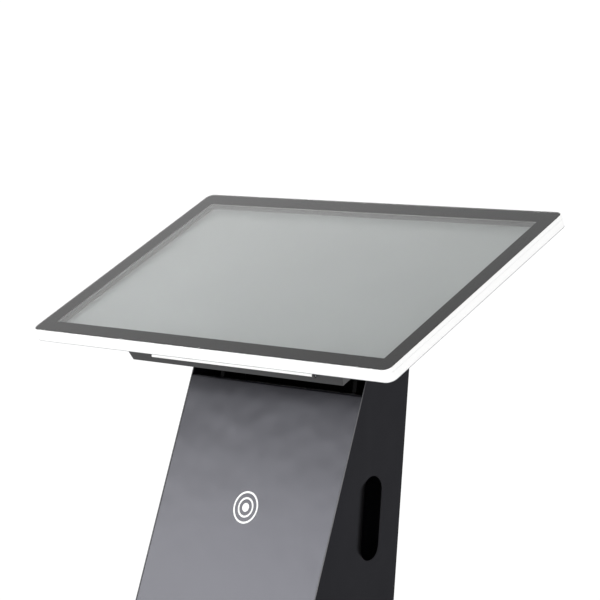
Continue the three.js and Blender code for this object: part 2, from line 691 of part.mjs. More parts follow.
function addLock(pedestal) {
  const rosette = BACK_FACE + GAP
  const barrelInner = POST_FRONT - 0.2
  const barrelShape = circle(LOCK_BARREL_RADIUS, LOCK_X, LOCK_HEIGHT)
  const rosetteShape = circle(LOCK_BARREL_RADIUS + LOCK_ROSETTE.lip, LOCK_X, LOCK_HEIGHT)
  const plugHole = circle(LOCK_PLUG_RADIUS + 0.1, LOCK_X, LOCK_HEIGHT)
  const barrel = carve(
    join([
      slabAlongY(barrelShape, barrelInner, rosette + 1, 10),
      slabAlongY(rosetteShape, rosette, rosette + LOCK_ROSETTE.thickness, 10),
    ]),
    [slabAlongY(plugHole, barrelInner - 1, rosette + LOCK_ROSETTE.thickness + 1, 10)]
  )
  piece(pedestal, 'lock_barrel', barrel, ZINC())

  const plugShape = circle(LOCK_PLUG_RADIUS, LOCK_X, LOCK_HEIGHT)
  const plug = slabAlongY(plugShape, barrelInner - GAP, rosette + LOCK_ROSETTE.thickness, 10)
  const keyShape = rect(KEY_SLOT.width, KEY_SLOT.height, LOCK_X, LOCK_HEIGHT)
  const keySlot = slabAlongY(keyShape, rosette - KEY_SLOT.depth, rosette + LOCK_ROSETTE.thickness + 1)
  piece(pedestal, 'lock_plug', carve(plug, [keySlot]), BRASS())

  // The cam hangs down when unlocked and turns sideways behind the right post.
  const camBack = barrelInner - 2 * GAP
  const cam = new THREE.Shape()
  cam.absarc(LOCK_X, LOCK_HEIGHT, CAM.width / 2, 0, Math.PI)
  cam.lineTo(LOCK_X - CAM.width / 2, LOCK_HEIGHT - CAM.reach)
  cam.lineTo(LOCK_X + CAM.width / 2, LOCK_HEIGHT - CAM.reach)
  piece(pedestal, 'lock_cam', slabAlongY(cam, camBack - CAM.thickness, camBack, 8), ZINC())
}

const BEAM_TOP = 750
const BEAM_HEIGHT = 25
const BEAM_DEPTH = 50
const EAR_INNER = 138
const EAR_THICKNESS = 8
const EAR_RADIUS = 18
const BUSH_RADIUS = 12
const EAR_HALF_FOOT = 24
const BEAM_WALL = 2

function addPivotSupport(pedestal) {
  const beam = rect(BEAM_DEPTH, BEAM_HEIGHT, PIVOT_Y, BEAM_TOP - BEAM_HEIGHT / 2)
  const boreDepth = BEAM_DEPTH - 2 * BEAM_WALL
  const boreHeight = BEAM_HEIGHT - 2 * BEAM_WALL
  beam.holes.push(rect(boreDepth, boreHeight, PIVOT_Y, BEAM_TOP - BEAM_HEIGHT / 2))
  const beamTube = slabAlongX(beam, -INNER_HALF_WIDTH, INNER_HALF_WIDTH)
  piece(pedestal, 'pivot_beam', beamTube, BLACK_STEEL())

  bothSides((side, label) => {
    const ear = new THREE.Shape()
    ear.moveTo(PIVOT_Y - EAR_HALF_FOOT, BEAM_TOP + GAP)
    ear.lineTo(PIVOT_Y + EAR_HALF_FOOT, BEAM_TOP + GAP)
    ear.absarc(PIVOT_Y, PIVOT_HEIGHT, EAR_RADIUS, 0, Math.PI)
    ear.holes.push(circle(BUSH_RADIUS + GAP, PIVOT_Y, PIVOT_HEIGHT))
    const [x0, x1] = span(side, EAR_INNER, EAR_INNER + EAR_THICKNESS)
    piece(pedestal, `pivot_ear_${label}`, slabAlongX(ear, x0, x1, 12), BLACK_STEEL())

    const bush = circle(BUSH_RADIUS, PIVOT_Y, PIVOT_HEIGHT)
    bush.holes.push(circle(SHAFT_RADIUS + 0.1, PIVOT_Y, PIVOT_HEIGHT))
    piece(pedestal, `pivot_bush_${label}`, slabAlongX(bush, x0 - 1, x1 + 1, 16), BRASS())
  })
}

const SHELF_HEIGHT = 300
const SHELF_FRONT = -118
const SHELF_BACK = 58
const PLAYER = { width: 190, depth: 140, height: 42, radius: 8, x: -40, y: -28 }
const SUPPLY = { width: 160, depth: 98, height: 40, radius: 4, x: 50, y: -60 }

function addEquipment(pedestal) {
  const shelf = polygon([
    [SHELF_FRONT, SHELF_HEIGHT - FLANGE],
    [SHELF_FRONT + SHEET, SHELF_HEIGHT - FLANGE],
    [SHELF_FRONT + SHEET, SHELF_HEIGHT - SHEET],
    [SHELF_BACK - SHEET, SHELF_HEIGHT - SHEET],
    [SHELF_BACK - SHEET, SHELF_HEIGHT - FLANGE],
    [SHELF_BACK, SHELF_HEIGHT - FLANGE],
    [SHELF_BACK, SHELF_HEIGHT],
    [SHELF_FRONT, SHELF_HEIGHT],
  ])
  const shelfPanel = slabAlongX(shelf, -INNER_HALF_WIDTH, INNER_HALF_WIDTH)
  piece(pedestal, 'equipment_shelf', shelfPanel, GRAPHITE_PAINT())

  const casing = ({ width, depth, height, radius, x, y }, bottom) =>
    slab(roundedRect(width, depth, radius, x, y), bottom, bottom + height)
  piece(pedestal, 'media_player', casing(PLAYER, SHELF_HEIGHT + GAP), BLACK_PLASTIC())
  piece(pedestal, 'power_supply', casing(SUPPLY, PEDESTAL_BOTTOM), ZINC())
}

// Mains inlet with its own on/off rocker, in the lower back panel.
const INLET = { x: -70, z: 54, width: 62, height: 30, radius: 3, flange: 2.5, inner: 66 }
const INLET_BODY_INSET = 2
const SOCKET = { x: INLET.x - 14, width: 24.4, height: 16.8, radius: 2, floor: INLET.inner + 4 }
const ROCKER_WELL = { x: INLET.x + 19, width: 13.4, height: 20.8, floor: INLET.inner + 10 }
const ROCKER = { halfWidth: 6.3, halfHeight: 8.8, back: -4, face: 6.3, crown: 7.6 }
const BLADES = [
  { x: -7, z: -1 },
  { x: 0, z: 3.5 },
  { x: 7, z: -1 },
]
const BLADE = { halfWidth: 1, halfHeight: 2, recess: 4 }
const ROCKER_PIVOT_Y = 84
const ROCKER_THROW = THREE.MathUtils.degToRad(10)

function addInlet(pedestal) {
  const face = BACK_FACE + GAP + INLET.flange
  const outline = roundedRect(INLET.width, INLET.height, INLET.radius, INLET.x, INLET.z)
  const flange = slabAlongY(outline, BACK_FACE + GAP, face, 3)
  const bodyShape = rect(
    INLET.width - 2 * INLET_BODY_INSET,
    INLET.height - 2 * INLET_BODY_INSET,
    INLET.x,
    INLET.z
  )
  const body = slabAlongY(bodyShape, INLET.inner, BACK_FACE + 1)
  const mouth = roundedRect(SOCKET.width, SOCKET.height, SOCKET.radius, SOCKET.x, INLET.z)
  const socket = slabAlongY(mouth, SOCKET.floor, face + 1, 3)
  const wellShape = rect(ROCKER_WELL.width, ROCKER_WELL.height, ROCKER_WELL.x, INLET.z)
  const well = slabAlongY(wellShape, ROCKER_WELL.floor, face + 1)
  const blades = BLADES.map((blade) => {
    const x = SOCKET.x + blade.x
    const z = INLET.z + blade.z
    const { halfWidth, halfHeight, recess } = BLADE
    const [y0, y1] = [SOCKET.floor - 1, face - recess]
    return block(x - halfWidth, x + halfWidth, y0, y1, z - halfHeight, z + halfHeight)
  })
  const housing = carve(join([flange, body]), [socket, well])
  piece(pedestal, 'power_inlet', join([housing, ...blades]), BLACK_PLASTIC())

  const { halfWidth, halfHeight, back, face: edge, crown } = ROCKER
  const rocker = polygon([
    [back, -halfHeight],
    [edge, -halfHeight],
    [crown, 0],
    [edge, halfHeight],
    [back, halfHeight],
  ])
  const lever = slabAlongX(rocker, -halfWidth, halfWidth).rotateX(ROCKER_THROW)
  lever.translate(ROCKER_WELL.x, ROCKER_PIVOT_Y, INLET.z)
  piece(pedestal, 'power_rocker', lever, BLACK_PLASTIC())
}

// ---------------------------------------------------------------- base

function addBase(pedestal) {
  const depth = BASE_BACK - BASE_FRONT
  const middle = (BASE_BACK + BASE_FRONT) / 2
  const plate = roundedRect(BASE_WIDTH, depth, BASE_RADIUS, 0, middle)
  const corners = []
  for (const [row, y] of [
    ['front', BASE_FRONT + FOOT_INSET],
    ['back', BASE_BACK - FOOT_INSET],
  ]) {
    bothSides((side, label) => {
      corners.push({ label: `${row}_${label}`, x: side * (BASE_WIDTH / 2 - FOOT_INSET), y })
    })
  }
  plate.holes.push(...corners.map(({ x, y }) => circle(FOOT_STUD_RADIUS + 0.2, x, y)))
  const top = FOOT_CLEARANCE + BASE_THICKNESS
  piece(pedestal, 'base_plate', slab(plate, FOOT_CLEARANCE, top, 6), GRAPHITE_PAINT())

  for (const { label, x, y } of corners) {
    const pad = [
      [0, 0],
      [FOOT_PAD_RADIUS - 1, 0],
      [FOOT_PAD_RADIUS, 1],
      [FOOT_PAD_RADIUS, FOOT_PAD_RIM],
      [FOOT_PAD_NECK, FOOT_PAD_HEIGHT],
      [0, FOOT_PAD_HEIGHT],
    ].map(([r, z]) => new THREE.Vector2(r, z))
    const padGeometry = new THREE.LatheGeometry(pad, 24).rotateX(Math.PI / 2)
    padGeometry.translate(x, y, 0)
    piece(pedestal, `foot_pad_${label}`, padGeometry, RUBBER())

    const stud = slab(circle(FOOT_STUD_RADIUS, x, y), FOOT_PAD_HEIGHT + GAP, FOOT_STUD_TOP, 8)
    piece(pedestal, `foot_stud_${label}`, stud, ZINC())
  }
}

// ---------------------------------------------------------------- assembly

const display = new THREE.Group()
display.position.z = SCREEN_HEIGHT
display.rotation.x = TILT
addGlassAndLcd(display)
addHousing(display)
addElectronicsCover(display)
addFlap(display)
addPortsAndButtons(display)
addBoardAndSpeakers(display)
addTiltBracket(display)

const pedestal = new THREE.Group()
addPedestalPanels(pedestal)
addBack(pedestal)
addDoor(pedestal)
addDoorHinges(pedestal)
addLock(pedestal)
addPivotSupport(pedestal)
addEquipment(pedestal)
addInlet(pedestal)
addBase(pedestal)

const kiosk = new THREE.Group()
kiosk.add(display, pedestal)

// The origin is on the floor, under the middle of the whole kiosk.
kiosk.updateMatrixWorld(true)
const extent = new THREE.Box3().setFromObject(kiosk, true)
kiosk.position.y = -(extent.min.y + extent.max.y) / 2

export default kiosk
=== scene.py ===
import json
import math

import bmesh
import bpy
from mathutils import Matrix, Vector
from mathutils.geometry import convex_hull_2d

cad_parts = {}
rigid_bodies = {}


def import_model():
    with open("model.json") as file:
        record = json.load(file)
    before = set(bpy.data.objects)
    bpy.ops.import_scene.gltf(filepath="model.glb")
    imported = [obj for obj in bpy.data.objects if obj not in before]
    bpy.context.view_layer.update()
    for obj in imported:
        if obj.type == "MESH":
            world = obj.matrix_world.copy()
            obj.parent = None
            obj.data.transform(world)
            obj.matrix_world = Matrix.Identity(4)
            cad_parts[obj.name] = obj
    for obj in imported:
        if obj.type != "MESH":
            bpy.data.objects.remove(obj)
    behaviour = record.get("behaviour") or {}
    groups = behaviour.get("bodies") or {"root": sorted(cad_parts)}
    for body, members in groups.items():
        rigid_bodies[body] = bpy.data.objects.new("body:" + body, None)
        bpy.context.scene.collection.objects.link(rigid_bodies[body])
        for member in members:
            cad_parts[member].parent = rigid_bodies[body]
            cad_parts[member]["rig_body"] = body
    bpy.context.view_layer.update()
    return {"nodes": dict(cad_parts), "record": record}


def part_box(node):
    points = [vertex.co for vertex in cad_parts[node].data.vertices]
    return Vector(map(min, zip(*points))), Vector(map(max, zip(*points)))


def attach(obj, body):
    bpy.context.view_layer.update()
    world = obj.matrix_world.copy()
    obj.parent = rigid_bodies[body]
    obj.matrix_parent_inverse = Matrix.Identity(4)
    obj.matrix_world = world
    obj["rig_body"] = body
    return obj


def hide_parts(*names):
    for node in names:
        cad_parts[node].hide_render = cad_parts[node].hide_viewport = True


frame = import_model()

MM = 0.001
NODES = frame["nodes"]
BODY_OF = {node: obj["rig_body"] for node, obj in NODES.items()}
SLOT_OF = {part["node"]: part["material_slot"] for part in frame["record"]["subparts"]}


# ---------------------------------------------------------------- frame of the tilted display

glass_low, glass_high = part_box("cover_glass")
SCREEN_TILT = math.radians(32.0)
GLASS_THICKNESS = 4.0 * MM
SCREEN_X = Vector((1.0, 0.0, 0.0))
SCREEN_U = Vector((0.0, math.cos(SCREEN_TILT), math.sin(SCREEN_TILT)))
SCREEN_N = Vector((0.0, -math.sin(SCREEN_TILT), math.cos(SCREEN_TILT)))
SCREEN_CENTRE = (glass_low + glass_high) / 2 + SCREEN_N * (GLASS_THICKNESS / 2)


def on_display(x, u, n):
    """A point given from the middle of the glass, in metres: across, up the slope, and out of it."""
    return SCREEN_CENTRE + SCREEN_X * x + SCREEN_U * u + SCREEN_N * n


def display_extent(node):
    """Lowest and highest (x, u, n) of a CAD node in the display's own directions."""
    points = [v.co - SCREEN_CENTRE for v in NODES[node].data.vertices]
    rows = [(p.dot(SCREEN_X), p.dot(SCREEN_U), p.dot(SCREEN_N)) for p in points]
    return Vector(map(min, zip(*rows))), Vector(map(max, zip(*rows)))


# ---------------------------------------------------------------- camera, floor and light

CAMERA_FROM_SCREEN = Vector((2.362291, -2.522574, 0.059996))
CAMERA_AZIMUTH = math.radians(42.7789)
CAMERA_PITCH = math.radians(-1.6876)
CAMERA_ROLL = math.radians(3.74512)
CAMERA_LENS = 132.63
FLOOR_RADIUS = 2.1
DIM_SIDE = (0.292, -0.720, 0.630)
DIM_START, DIM_END = -0.10, 0.09
CEILING_BRIGHT, CEILING_DIM = 1.28, 0.66
CEILING_START, CEILING_END = 0.42, 0.60
WALL_LEVEL = 1.05
PEDESTAL_MIDDLE = (0.0, -0.05, 0.55)
UPPER_MIDDLE = (0.0, -0.05, 0.8)
DISPLAY_FRONT = (0.0, -0.1, 0.8)


def add_camera():
    data = bpy.data.cameras.new("camera")
    data.sensor_width = 36.0
    data.lens = CAMERA_LENS
    data.clip_start = 0.05
    data.clip_end = 50.0
    camera = bpy.data.objects.new("camera", data)
    forward = Vector((
        -math.sin(CAMERA_AZIMUTH) * math.cos(CAMERA_PITCH),
        math.cos(CAMERA_AZIMUTH) * math.cos(CAMERA_PITCH),
        math.sin(CAMERA_PITCH),
    ))
    level = Vector((math.cos(CAMERA_AZIMUTH), math.sin(CAMERA_AZIMUTH), 0.0))
    upright = level.cross(forward)
    right = level * math.cos(CAMERA_ROLL) + upright * math.sin(CAMERA_ROLL)
    up = upright * math.cos(CAMERA_ROLL) - level * math.sin(CAMERA_ROLL)
    place = Matrix((right, up, -forward)).transposed().to_4x4()
    place.translation = SCREEN_CENTRE + CAMERA_FROM_SCREEN
    camera.matrix_world = place
    bpy.context.collection.objects.link(camera)
    bpy.context.scene.camera = camera


def add_soft_box(name, position, target, width, height, radiance, diffuse=True):
    """A soft box; radiance is relative to a white room of strength 1."""
    data = bpy.data.lights.new(name, "AREA")
    data.shape = "ELLIPSE"
    data.size = width
    data.size_y = height
    data.energy = radiance * math.pi * math.pi * width * height / 4
    light = bpy.data.objects.new(name, data)
    light.location = position
    light.rotation_euler = (Vector(target) - Vector(position)).to_track_quat("-Z", "Y").to_euler()
    light.visible_camera = False
    light.visible_diffuse = diffuse
    bpy.context.collection.objects.link(light)


def add_world():
    """A white room whose ceiling is dimmer in front and to the right."""
    world = bpy.data.worlds.new("white_room")
    world.use_nodes = True
    tree = world.node_tree

    def ramp(source, start, end, low, high):
        node = tree.nodes.new("ShaderNodeMapRange")
        node.interpolation_type = "SMOOTHSTEP"
        for socket, value in (("From Min", start), ("From Max", end)):
            node.inputs[socket].default_value = value
        for socket, value in (("To Min", low), ("To Max", high)):
            if isinstance(value, float):
                node.inputs[socket].default_value = value
            else:
                tree.links.new(value, node.inputs[socket])
        tree.links.new(source, node.inputs["Value"])
        return node.outputs["Result"]

    direction = tree.nodes.new("ShaderNodeTexCoord").outputs["Generated"]
    height = tree.nodes.new("ShaderNodeSeparateXYZ")
    tree.links.new(direction, height.inputs["Vector"])
    side = tree.nodes.new("ShaderNodeVectorMath")
    side.operation = "DOT_PRODUCT"
    side.inputs[1].default_value = DIM_SIDE
    tree.links.new(direction, side.inputs[0])
    ceiling = ramp(side.outputs["Value"], DIM_START, DIM_END, CEILING_BRIGHT, CEILING_DIM)
    level = ramp(height.outputs["Z"], CEILING_START, CEILING_END, WALL_LEVEL, ceiling)
    background = tree.nodes["Background"]
    background.inputs["Color"].default_value = (1.0, 1.0, 1.0, 1.0)
    tree.links.new(level, background.inputs["Strength"])
    scene = bpy.context.scene
    scene.world = world
    scene.view_settings.view_transform = "Standard"
    scene.view_settings.look = "None"


# ---------------------------------------------------------------- materials

NOISE_LOW, NOISE_HIGH = 0.3, 0.7
CLOUD_SIZE = 0.09
WAVE_SIZE = 0.06
COLOUR_A, COLOUR_B, COLOUR_OUT = 6, 7, 2  # sockets of a Mix node set to colours
PAINT_COLOUR = (0.0055, 0.0055, 0.0075)
PAINT_GLOSS_TINT = (0.88, 0.885, 1.0)
PAINT_WAVE = 0.0009


def linear(*srgb):
    """A colour given as 0 to 255 display values."""
    steps = [value / 255 for value in srgb]
    return tuple(s / 12.92 if s <= 0.04045 else ((s + 0.055) / 1.055) ** 2.4 for s in steps)


class Nodes:
    """Short ways to add and join shader nodes."""

    def __init__(self, name):
        self.material = bpy.data.materials.new(name)
        self.material.use_nodes = True
        self.tree = self.material.node_tree
        self.shader = self.tree.nodes["Principled BSDF"]
        self.place = self.tree.nodes.new("ShaderNodeTexCoord").outputs["Object"]

    def join(self, source, target):
        self.tree.links.new(source, target)

    def noise(self, size, detail=2.0, stretch=None):
        """Noise whose features are about size metres across; stretch draws them out along one axis."""
        node = self.tree.nodes.new("ShaderNodeTexNoise")
        node.inputs["Scale"].default_value = 1.0 / size
        node.inputs["Detail"].default_value = detail
        place = self.place
        if stretch:
            mapping = self.tree.nodes.new("ShaderNodeMapping")
            mapping.inputs["Scale"].default_value = stretch
            self.join(place, mapping.inputs["Vector"])
            place = mapping.outputs["Vector"]
        self.join(place, node.inputs["Vector"])
        return node.outputs["Fac"]

    def spread(self, factor, low, high):
        node = self.tree.nodes.new("ShaderNodeMapRange")
        node.inputs["From Min"].default_value = NOISE_LOW
        node.inputs["From Max"].default_value = NOISE_HIGH
        node.inputs["To Min"].default_value = low
        node.inputs["To Max"].default_value = high
        self.join(factor, node.inputs["Value"])
        return node.outputs["Result"]

    def blend_colours(self, factor, dark, light):
        node = self.tree.nodes.new("ShaderNodeValToRGB")
        low, high = node.color_ramp.elements
        low.position, high.position = NOISE_LOW, NOISE_HIGH
        low.color, high.color = (*dark, 1.0), (*light, 1.0)
        self.join(factor, node.inputs["Fac"])
        return node.outputs["Color"]

    def relief(self, factor, height):
        node = self.tree.nodes.new("ShaderNodeBump")
        node.inputs["Distance"].default_value = height
        self.join(factor, node.inputs["Height"])
        return node.outputs["Normal"]


def coated(
    name, colour, roughness, grain, height, variation=0.08, metallic=0.0, stretch=None, wave=0.0, sockets=None
):
    """A coated, moulded or bare surface: a fine grain in relief, a broad faint cloud in tone, a slow wave."""
    made = Nodes(name)
    shader = made.shader
    cloud = made.noise(CLOUD_SIZE, 3.0)
    fine = made.noise(grain, 2.0, stretch)
    dark = tuple(c * (1 - variation) for c in colour)
    light = tuple(min(1.0, c * (1 + variation)) for c in colour)
    made.join(made.blend_colours(cloud, dark, light), shader.inputs["Base Color"])
    made.join(made.spread(fine, roughness * 0.88, min(1.0, roughness * 1.12)), shader.inputs["Roughness"])
    fine_relief = made.relief(fine, height)
    if wave:
        slow_relief = made.relief(made.noise(WAVE_SIZE, 1.0), wave)
        made.join(slow_relief, fine_relief.node.inputs["Normal"])
    made.join(fine_relief, shader.inputs["Normal"])
    shader.inputs["Metallic"].default_value = metallic
    for socket, value in (sockets or {}).items():
        shader.inputs[socket].default_value = value
    return made.material


def paint_shade_black(material, mask):
    """Paints shade: turns a coated material matt black where the mask is 1."""
    tree = material.node_tree
    shader = tree.nodes["Principled BSDF"]
    ends = {
        "Base Color": (0.0003, 0.0003, 0.0004, 1.0),
        "Specular Tint": (0.0, 0.0, 0.0, 1.0),
        "Roughness": (1.0, 1.0, 1.0, 1.0),
    }
    for socket, end in ends.items():
        mix = tree.nodes.new("ShaderNodeMix")
        mix.data_type = "RGBA"
        tree.links.new(mask, mix.inputs["Factor"])
        if shader.inputs[socket].is_linked:
            tree.links.new(shader.inputs[socket].links[0].from_socket, mix.inputs[COLOUR_A])
        else:
            mix.inputs[COLOUR_A].default_value = shader.inputs[socket].default_value
        mix.inputs[COLOUR_B].default_value = end
        tree.links.new(mix.outputs[COLOUR_OUT], shader.inputs[socket])


def shaded_side_paint():
    """The pedestal's paint on the side sheets, with painted shade: matt black where the grip's edge rolls
    inwards.
    """
    # painted shade: the same paint as on the front sheet, made less glossy here so the sides read darker
    material = coated(
        "shaded_side_paint", PAINT_COLOUR, 0.38, 0.0009, 0.00002, wave=PAINT_WAVE,
        sockets={"Specular IOR Level": 0.13, "Specular Tint": (*PAINT_GLOSS_TINT, 1.0)},
    )
    painted_grip_shade = material.node_tree.nodes.new("ShaderNodeAttribute")
    painted_grip_shade.attribute_name = "painted_grip_shade"
    paint_shade_black(material, painted_grip_shade.outputs["Fac"])
    return material


def back_paint_inner_shade():
    """The pedestal's paint on the back panels, with painted shade: their inner faces turn matt black to stand
    in for the dark inside of the pedestal.
    """
    material = coated(
        "back_paint_inner_shade", PAINT_COLOUR, 0.34, 0.0009, 0.00002,
        sockets={"Specular IOR Level": 0.25, "Specular Tint": (*PAINT_GLOSS_TINT, 1.0)},
    )
    tree = material.node_tree
    facing = tree.nodes.new("ShaderNodeSeparateXYZ")
    normal = tree.nodes["Texture Coordinate"].outputs["Normal"]
    tree.links.new(normal, facing.inputs["Vector"])
    # painted shade: faces that look into the pedestal turn matt black
    inner_shade = tree.nodes.new("ShaderNodeMapRange")
    inner_shade.inputs["From Min"].default_value = -0.4
    inner_shade.inputs["From Max"].default_value = -0.6
    tree.links.new(facing.outputs["Y"], inner_shade.inputs["Value"])
    paint_shade_black(material, inner_shade.outputs["Result"])
    return material


def clear_glass():
    made = Nodes("clear_glass")
    shader = made.shader
    shader.inputs["Base Color"].default_value = (0.985, 0.995, 0.99, 1.0)
    shader.inputs["Transmission Weight"].default_value = 1.0
    shader.inputs["IOR"].default_value = 1.5
    wiped = made.noise(0.035, 4.0, (1.0, 0.35, 1.0))
    made.join(made.spread(wiped, 0.0, 0.012), shader.inputs["Roughness"])
    return made.material


def make_materials():
    return {
        "glass": clear_glass(),
        "black_ink": coated(
            "black_ink", (0.004, 0.004, 0.0042), 0.9, 0.0004, 0.0, sockets={"Specular IOR Level": 0.0}
        ),
        # painted reflection: the screen's light grey base colour stands in for the bright room's glare on its
        # dark matt film
        "lcd_surface": coated("lcd_surface", (0.330, 0.354, 0.352), 0.32, 0.0003, 0.000004, variation=0.03),
        "lcd_metal": coated("lcd_metal", (0.10, 0.102, 0.103), 0.4, 0.0006, 0.00001, variation=0.05),
        "grey_plastic": coated("grey_plastic", linear(111, 114, 118), 0.5, 0.0007, 0.00002),
        "white_paint": coated(
            "white_paint", (0.90, 0.90, 0.896), 0.36, 0.0011, 0.000012, variation=0.012
        ),
        "white_plastic": coated(
            "white_plastic", (0.90, 0.90, 0.895), 0.42, 0.0009, 0.000012, variation=0.012
        ),
        "white_ink": coated("white_ink", (0.80, 0.80, 0.79), 0.5, 0.0005, 0.00001, variation=0.03),
        "dark_cover": coated("dark_cover", (0.013, 0.013, 0.014), 0.38, 0.0008, 0.00002),
        "graphite_paint": coated(
            "graphite_paint", PAINT_COLOUR, 0.32, 0.0009, 0.00002, wave=PAINT_WAVE,
            sockets={"Specular IOR Level": 0.25, "Specular Tint": (*PAINT_GLOSS_TINT, 1.0)},
        ),
        "shaded_side_paint": shaded_side_paint(),
        "back_paint_inner_shade": back_paint_inner_shade(),
        # painted highlight: the side sheets' cut edges are lighter to stand in for the thin light line along
        # their front edges
        "edge_highlight_paint": coated(
            "edge_highlight_paint", (0.042, 0.042, 0.047), 0.45, 0.0009, 0.00002, variation=0.15,
            sockets={"Specular IOR Level": 0.2},
        ),
        "black_steel": coated(
            "black_steel", (0.003, 0.003, 0.0033), 0.6, 0.0008, 0.00002, sockets={"Specular IOR Level": 0.02}
        ),
        "zinc_steel": coated(
            "zinc_steel", (0.52, 0.54, 0.56), 0.32, 0.0015, 0.00001, metallic=1.0
        ),
        "chrome": coated("chrome", (0.62, 0.62, 0.63), 0.14, 0.0008, 0.000003, metallic=1.0),
        "bronze": coated("bronze", (0.55, 0.37, 0.16), 0.3, 0.0008, 0.000006, metallic=1.0),
        "aluminium": coated("aluminium", (0.63, 0.64, 0.65), 0.34, 0.0006, 0.000008, metallic=1.0),
        "black_plastic": coated("black_plastic", (0.014, 0.014, 0.016), 0.45, 0.0006, 0.00002),
        "circuit_board": coated("circuit_board", (0.014, 0.075, 0.035), 0.35, 0.0012, 0.00002),
        "rubber": coated("rubber", (0.012, 0.012, 0.012), 0.8, 0.0009, 0.00004),
    }


# ---------------------------------------------------------------- dressing the CAD nodes

SMOOTH_ANGLE = math.radians(38.0)


def shade(mesh):
    mesh.polygons.foreach_set("use_smooth", [True] * len(mesh.polygons))
    mesh.set_sharp_from_angle(angle=SMOOTH_ANGLE)


def round_edges(obj, width):
    bevel = obj.modifiers.new("bevel", "BEVEL")
    bevel.width = width
    bevel.segments = 2
    bevel.limit_method = "ANGLE"
    bevel.angle_limit = SMOOTH_ANGLE
    bevel.harden_normals = True
    bevel.use_clamp_overlap = True


def soften(obj, width):
    """Merges coplanar triangles, then rounds the sharp edges."""
    weld = obj.modifiers.new("weld", "WELD")
    weld.merge_threshold = 0.00001
    planar = obj.modifiers.new("planar", "DECIMATE")
    planar.decimate_type = "DISSOLVE"
    planar.angle_limit = math.radians(0.5)
    round_edges(obj, width)


def clear_custom_normals(mesh):
    for name in ("custom_normal", "sharp_edge"):
        attribute = mesh.attributes.get(name)
        if attribute:
            mesh.attributes.remove(attribute)


def dress(node, material, edge):
    obj = NODES[node]
    obj.data.materials.clear()
    obj.data.materials.append(material)
    clear_custom_normals(obj.data)
    shade(obj.data)
    if edge:
        soften(obj, edge)


EDGE_OF_SLOT = {
    "glass": 0.5 * MM,
    "lcd_surface": 0.0,
    "black_ink": 0.0,
    "white_paint": 0.7 * MM,
    "white_plastic": 0.5 * MM,
    "dark_cover": 0.8 * MM,
    "rubber": 0.8 * MM,
    "circuit_board": 0.15 * MM,
}
EDGE_OTHERWISE = 0.35 * MM


def dress_nodes(materials):
    for node in sorted(NODES):
        slot = SLOT_OF[node]
        paint = "back_paint_inner_shade" if node.startswith("back_panel") else slot
        dress(node, materials[paint], EDGE_OF_SLOT.get(slot, EDGE_OTHERWISE))


# ---------------------------------------------------------------- building pieces

def new_piece(name, mesh_maker, material, body, edge=0.0):
    """Adds a mesh object that rides on a CAD body."""
    built = bmesh.new()
    mesh_maker(built)
    bmesh.ops.recalc_face_normals(built, faces=built.faces)
    mesh = bpy.data.meshes.new(name)
    built.to_mesh(mesh)
    built.free()
    mesh.materials.append(material)
    shade(mesh)
    obj = bpy.data.objects.new(name, mesh)
    bpy.context.collection.objects.link(obj)
    if edge:
        soften(obj, edge)
    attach(obj, body)
    return obj


def corner_steps(segments=12):
    """Signs of each corner of a rectangle and the angles round it, anticlockwise."""
    for sign_x, sign_y, start in ((1, 1, 0), (-1, 1, 90), (-1, -1, 180), (1, -1, 270)):
        for i in range(segments + 1):
            yield sign_x, sign_y, math.radians(start + 90 * i / segments)


def rounded_outline(width, height, radius):
    """Points round a rectangle with rounded corners, anticlockwise about its middle."""
    return [
        (
            sign_x * (width / 2 - radius) + radius * math.cos(angle),
            sign_y * (height / 2 - radius) + radius * math.sin(angle),
        )
        for sign_x, sign_y, angle in corner_steps()
    ]


def bridge_rings(built, rings, closed=True):
    """Faces between rings of the same number of points."""
    made = [[built.verts.new(point) for point in ring] for ring in rings]
    count = len(made[0])
    pairs = range(count) if closed else range(count - 1)
    for low, high in zip(made, made[1:]):
        for i in pairs:
            j = (i + 1) % count
            built.faces.new((low[i], low[j], high[j], high[i]))
    return made


# ---------------------------------------------------------------- display pieces

SHELL_CORNER = 13.5 * MM
GLASS_CORNER = 11.5 * MM
SHADE_LINE_RADIUS = 0.38 * MM
SHADE_LINE_SIDES = 8


def add_ink_border(materials):
    """The black border is printed on the back of the glass, so no air lies between them."""
    low, high = display_extent("border_mask")
    screen_low, screen_high = display_extent("lcd_panel")
    reveal = 2.0 * MM
    inner_width = screen_high.x - screen_low.x - 2 * reveal
    inner_height = screen_high.y - screen_low.y - 2 * reveal
    outer = rounded_outline(high.x - low.x, high.y - low.y, GLASS_CORNER)
    inner = rounded_outline(inner_width, inner_height, 0.3 * MM)
    top = -GLASS_THICKNESS + 0.02 * MM
    bottom = low.z

    def make(built):
        rings = [
            [on_display(x, u, n) for x, u in outline]
            for outline, n in ((outer, top), (inner, top), (inner, bottom), (outer, bottom), (outer, top))
        ]
        bridge_rings(built, rings)
        bmesh.ops.remove_doubles(built, verts=built.verts, dist=1e-6)

    border = new_piece("ink_border", make, materials["black_ink"], BODY_OF["border_mask"])
    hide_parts("border_mask")


